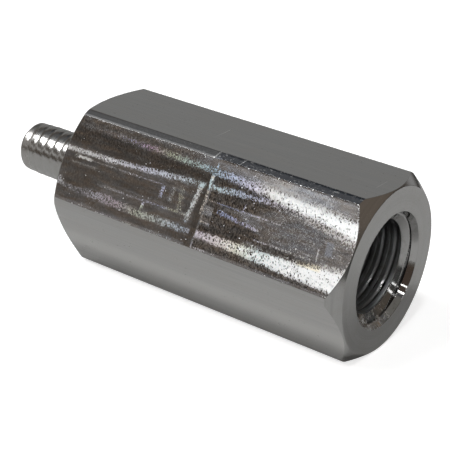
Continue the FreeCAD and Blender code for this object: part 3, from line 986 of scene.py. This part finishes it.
# the floor that the metal reflects, and the paler sheet over it that the camera sees
table = plane("floor", 0.20, -0.0001, (0.432, 0.432, 0.426))
table.visible_camera = False
glow = table.data.materials[0].node_tree.nodes["Principled BSDF"]
glow.inputs["Emission Color"].default_value = (1, 1, 1, 1)
glow.inputs["Emission Strength"].default_value = 0.022
sheet = plane("floor_sheet", 2.6, -0.00002, (0.62, 0.62, 0.62))
glow = sheet.data.materials[0].node_tree.nodes["Principled BSDF"]
glow.inputs["Emission Color"].default_value = (1, 1, 1, 1)
glow.inputs["Emission Strength"].default_value = 0.72
for k in ("diffuse", "glossy", "transmission", "shadow"):
    setattr(sheet, "visible_" + k, False)

# a pale backdrop for low views
bm = bmesh.new()
bmesh.ops.create_uvsphere(bm, u_segments=48, v_segments=24, radius=1.4)
bmesh.ops.reverse_faces(bm, faces=bm.faces)
me = bpy.data.meshes.new("backdrop")
bm.to_mesh(me)
bm.free()
dome = bpy.data.objects.new("backdrop", me)
bpy.context.collection.objects.link(dome)
m = bpy.data.materials.new("backdrop")
m.use_nodes = True
m.node_tree.nodes.clear()
n = Nodes(m.node_tree)
em = n.new("ShaderNodeEmission")
em.inputs["Color"].default_value = (0.97, 0.97, 0.97, 1)
mo = n.new("ShaderNodeOutputMaterial")
n.put(mo.inputs[0], em.outputs[0])
me.materials.append(m)
for k in ("diffuse", "glossy", "transmission", "shadow"):
    setattr(dome, "visible_" + k, False)

# studio: a dim room with soft boxes, as seen from the object (azimuth from +X, elevation)
world = bpy.data.worlds.new("studio")
bpy.context.scene.world = world
world.use_nodes = True
world.node_tree.nodes.clear()
n = Nodes(world.node_tree)
tc = n.new("ShaderNodeTexCoord")
vn = n.new("ShaderNodeVectorMath", operation="NORMALIZE")
n.put(vn.inputs[0], tc.outputs["Generated"])
dx, dy, dz = n.split(vn.outputs[0])
az = n.mul(n.math("ARCTAN2", dy, dx), 180 / math.pi)
el = n.mul(n.math("ARCSINE", dz), 180 / math.pi)


def panel(a0, a1, e0, e1, soft_a, soft_e):
    if a1 > 180:       # over the back: measure from -X instead
        back = n.mul(n.math("ARCTAN2", n.mul(dy, -1.0), n.mul(dx, -1.0)), 180 / math.pi)
        f = n.box(back, a0 - 180.0, a1 - 180.0, soft_a)
    else:
        f = n.box(az, float(a0), float(a1), soft_a)
    return n.mul(f, n.box(el, float(e0), float(e1), soft_e))


sky = n.ramp(n.remap(el, 0.0, 90.0, smooth=False), [
    (0.0, (0.105, 0.088, 0.072)), (0.42, (0.100, 0.085, 0.072)), (0.55, (0.080, 0.083, 0.090)), (1.0, (0.085, 0.09, 0.10))])
sky = n.mix(n.remap(el, -7.0, -1.0, 1.0, 0.0), sky, (0.035, 0.033, 0.030, 1))
PANELS = [
    (95, 150, -4, 30, 12, 10, (0.248, 0.248, 0.245)),     # back left, seen in the top flat
    (-156, -112, 10, 18, 8, 4, (0.50, 0.49, 0.48)),      # low, in front of the stud
    (-178, -155, 12, 28, 8, 6, (0.50, 0.50, 0.49)),      # beside the stud
    (-90, 20, -30, 1, 10, 16, (0.19, 0.182, 0.175)),     # the far end of the bench
    (108, 138, 38, 52, 8, 6, (0.04, 0.045, 0.05)),       # and the dark above it
    (174, 196, 50, 64, 6, 6, (0.33, 0.33, 0.33)),        # left, above
    (142, 168, 47, 64, 8, 6, (0.13, 0.13, 0.13)),
    (-15, 62, 30, 52, 14, 10, (0.17, 0.14, 0.115)),      # right
    (64, 96, 26, 50, 8, 8, (0.14, 0.13, 0.12)),
    (80, 116, -2, 16, 10, 8, (0.34, 0.34, 0.34)),
    (-34, 74, 55, 76, 10, 6, (0.17, 0.163, 0.15)),       # right, high
    (-76, -46, -30, -3, 8, 12, (0.29, 0.28, 0.27)),      # and its near side
    (-72, -34, 3, 53, 8, 12, (0.075, 0.056, 0.045)),     # the brown between
    (-30, 74, -14, 17, 10, 6, (0.068, 0.068, 0.066)),
]
LAMPS = [
    (-164, -117, 39, 51, 5, 3, 6.6),                     # key
    (-140, -113, 53, 61.5, 6, 3, 28.5),                  # overhead, in front, to the left
    (-76, -60, 62.5, 70, 4, 2.5, 57.0),                  # and to the right
    (-74, -26, 38.5, 39.6, 4, 0.5, 8.0),                 # two tubes over the camera
    (-66, -16, 49.4, 51.0, 4, 0.6, 8.0),
    (-106, -88, 6, 34, 4, 6, 0.6),                       # front strip
    (-4, 5, 11.9, 12.7, 4, 0.4, 3.0),                    # the tubes' ends, low at the open end
    (1, 12, 17.5, 18.4, 4, 0.5, 3.0),
]
col = sky
for a0, a1, e0, e1, sa, se, c in PANELS:
    col = n.mix(panel(a0, a1, e0, e1, sa, se), col, (*c, 1))
for a0, a1, e0, e1, sa, se, p in LAMPS:
    col = n.mix(panel(a0, a1, e0, e1, sa, se), col, (p, p, p, 1))
bg = n.new("ShaderNodeBackground")
n.put(bg.inputs["Color"], col)
wo = n.new("ShaderNodeOutputWorld")
n.put(wo.inputs[0], bg.outputs[0])

# ---------------------------------------------------------------- camera
cam_data = bpy.data.cameras.new("camera")
cam = bpy.data.objects.new("camera", cam_data)
bpy.context.collection.objects.link(cam)
bpy.context.scene.camera = cam
CAM_POS = Vector((0.0832146, -0.1172049, 0.0739243))
RIGHT = (0.8109849, 0.5817445, 0.0622642)
DOWN = (0.2926613, -0.3112148, -0.9041541)
FWD = (-0.5066091, 0.7514777, -0.4226446)
rot = Matrix((RIGHT, [-c for c in DOWN], [-c for c in FWD])).transposed()
cam.matrix_world = Matrix.Translation(CAM_POS) @ rot.to_4x4()
cam_data.sensor_width = 36.0
cam_data.lens = 36.0 * 1361.224 / 450.0
cam_data.clip_start, cam_data.clip_end = 0.01, 10.0

bpy.context.scene.view_settings.view_transform = "Standard"
